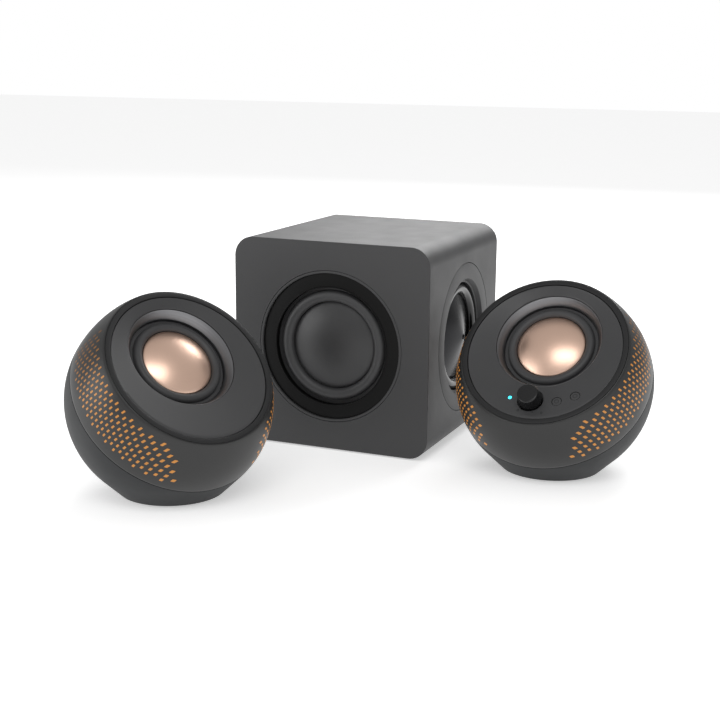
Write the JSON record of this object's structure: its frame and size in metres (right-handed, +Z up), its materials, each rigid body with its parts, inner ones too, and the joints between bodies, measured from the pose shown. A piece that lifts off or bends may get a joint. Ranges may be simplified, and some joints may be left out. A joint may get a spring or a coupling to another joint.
{
  "type": "desktop speaker set",
  "caption": "Desktop speaker set: a cube bass cabinet with a front driver and side radiators, and round tilted satellites, one with a volume knob and buttons.",
  "frame": {"origin": "on the desk, under the middle of the footprint of the whole set", "axes": "+Z up; the bass driver faces -Y; the satellite with the controls stands towards +X"},
  "size_m": [0.3456, 0.3438, 0.1508],
  "materials": {
    "cabinet_grey": "fine moulded texture",
    "trim_black": "satin black",
    "roll_rubber": "satin rubber",
    "cone_grey": "satin moulded cone",
    "frame_metal": "black paint on cast metal",
    "magnet_steel": "plated steel",
    "coil_former": "thin metal former",
    "spider_cloth": "resin dipped cloth",
    "dish_metal": "black spun metal with a round grain",
    "panel_metal": "black powder coat",
    "socket_black": "black moulded sockets",
    "screw_black": "black zinc",
    "board_green": "lacquered circuit board",
    "shell_grey": "warm grey satin paint",
    "shell_dark": "matte blue-black",
    "rim_dark": "dark satin",
    "plate_grey": "fine moulded texture",
    "bevel_grey": "satin metallic",
    "copper_cone": "satin copper colour",
    "light_amber": "clear guide lit amber",
    "pad_rubber": "matt rubber",
    "weight_steel": "plain steel",
    "knob_black": "satin black",
    "status_cyan": "clear lens lit cyan"
  },
  "bodies": {
    "bass_unit": {"bass_cabinet": "cabinet_grey", "bass_feet": "pad_rubber", "bass_trim_ring": "trim_black", "bass_frame": "frame_metal", "bass_magnet": "magnet_steel", "bass_surround": "roll_rubber", "bass_spider": "spider_cloth", "rear_panel": "panel_metal", "panel_screws": "screw_black", "power_inlet": "socket_black", "satellite_sockets": "socket_black", "amplifier_board": "board_green", "side_ring_left": "cabinet_grey", "side_ring_right": "cabinet_grey", "side_frame_left": "frame_metal", "side_frame_right": "frame_metal", "side_surround_left": "roll_rubber", "side_surround_right": "roll_rubber"},
    "bass_driver": {"bass_cone": "cone_grey", "bass_coil": "coil_former"},
    "left_radiator": {"side_dish_left": "dish_metal"},
    "right_radiator": {"side_dish_right": "dish_metal"},
    "left_satellite": {"front_shell_left": "shell_grey", "rim_ring_left": "rim_dark", "front_plate_left": "plate_grey", "bevel_ring_left": "bevel_grey", "frame_left": "frame_metal", "magnet_left": "magnet_steel", "surround_left": "roll_rubber", "light_guide_left": "light_amber", "rear_shell_left": "shell_dark", "cable_inlet_left": "socket_black", "foot_pad_left": "pad_rubber", "foot_weight_left": "weight_steel"},
    "left_driver": {"cone_left": "copper_cone", "coil_left": "coil_former"},
    "right_satellite": {"front_shell_right": "shell_grey", "rim_ring_right": "rim_dark", "front_plate_right": "plate_grey", "bevel_ring_right": "bevel_grey", "frame_right": "frame_metal", "magnet_right": "magnet_steel", "surround_right": "roll_rubber", "light_guide_right": "light_amber", "rear_shell_right": "shell_dark", "cable_inlet_right": "socket_black", "foot_pad_right": "pad_rubber", "foot_weight_right": "weight_steel", "knob_encoder": "frame_metal", "status_light": "status_cyan", "control_board": "board_green", "line_jack": "socket_black"},
    "right_driver": {"cone_right": "copper_cone", "coil_right": "coil_former"},
    "knob": {"volume_knob": "knob_black"},
    "power_press": {"power_button": "plate_grey"},
    "mode_press": {"mode_button": "plate_grey"}
  },
  "joints": [
    {"name": "bass_travel", "type": "slide", "parent": "bass_unit", "child": "bass_driver", "axis": [0, -1, 0], "range_m": [-0.003, 0.003], "stiffness_N_per_m": 600, "deforming": ["bass_surround", "bass_spider"]},
    {"name": "left_radiator_travel", "type": "slide", "parent": "bass_unit", "child": "left_radiator", "axis": [-1, 0, 0], "range_m": [-0.003, 0.003], "stiffness_N_per_m": 500, "deforming": ["side_surround_left"]},
    {"name": "right_radiator_travel", "type": "slide", "parent": "bass_unit", "child": "right_radiator", "axis": [1, 0, 0], "range_m": [-0.003, 0.003], "stiffness_N_per_m": 500, "deforming": ["side_surround_right"]},
    {"name": "left_place", "type": "slide", "parent": "bass_unit", "child": "left_satellite", "axis": [-1, 0, 0], "range_m": [0, 0.3]},
    {"name": "right_place", "type": "slide", "parent": "bass_unit", "child": "right_satellite", "axis": [1, 0, 0], "range_m": [0, 0.3]},
    {"name": "left_travel", "type": "slide", "parent": "left_satellite", "child": "left_driver", "axis": [0.6574, -0.315, 0.6845], "range_m": [-0.002, 0.002], "stiffness_N_per_m": 300, "deforming": ["surround_left"]},
    {"name": "right_travel", "type": "slide", "parent": "right_satellite", "child": "right_driver", "axis": [-0.047, -0.7274, 0.6845], "range_m": [-0.002, 0.002], "stiffness_N_per_m": 300, "deforming": ["surround_right"]},
    {"name": "knob_turn", "type": "hinge", "parent": "right_satellite", "child": "knob", "pos_m": [0.10307, 0.00173, 0.05747], "axis": [-0.047, -0.7274, 0.6845], "range_deg": [-140, 140]},
    {"name": "power_press_travel", "type": "slide", "parent": "right_satellite", "child": "power_press", "axis": [0.047, 0.7274, -0.6845], "range_m": [0, 0.0006], "stiffness_N_per_m": 600},
    {"name": "mode_press_travel", "type": "slide", "parent": "right_satellite", "child": "mode_press", "axis": [0.047, 0.7274, -0.6845], "range_m": [0, 0.0006], "stiffness_N_per_m": 600}
  ]
}
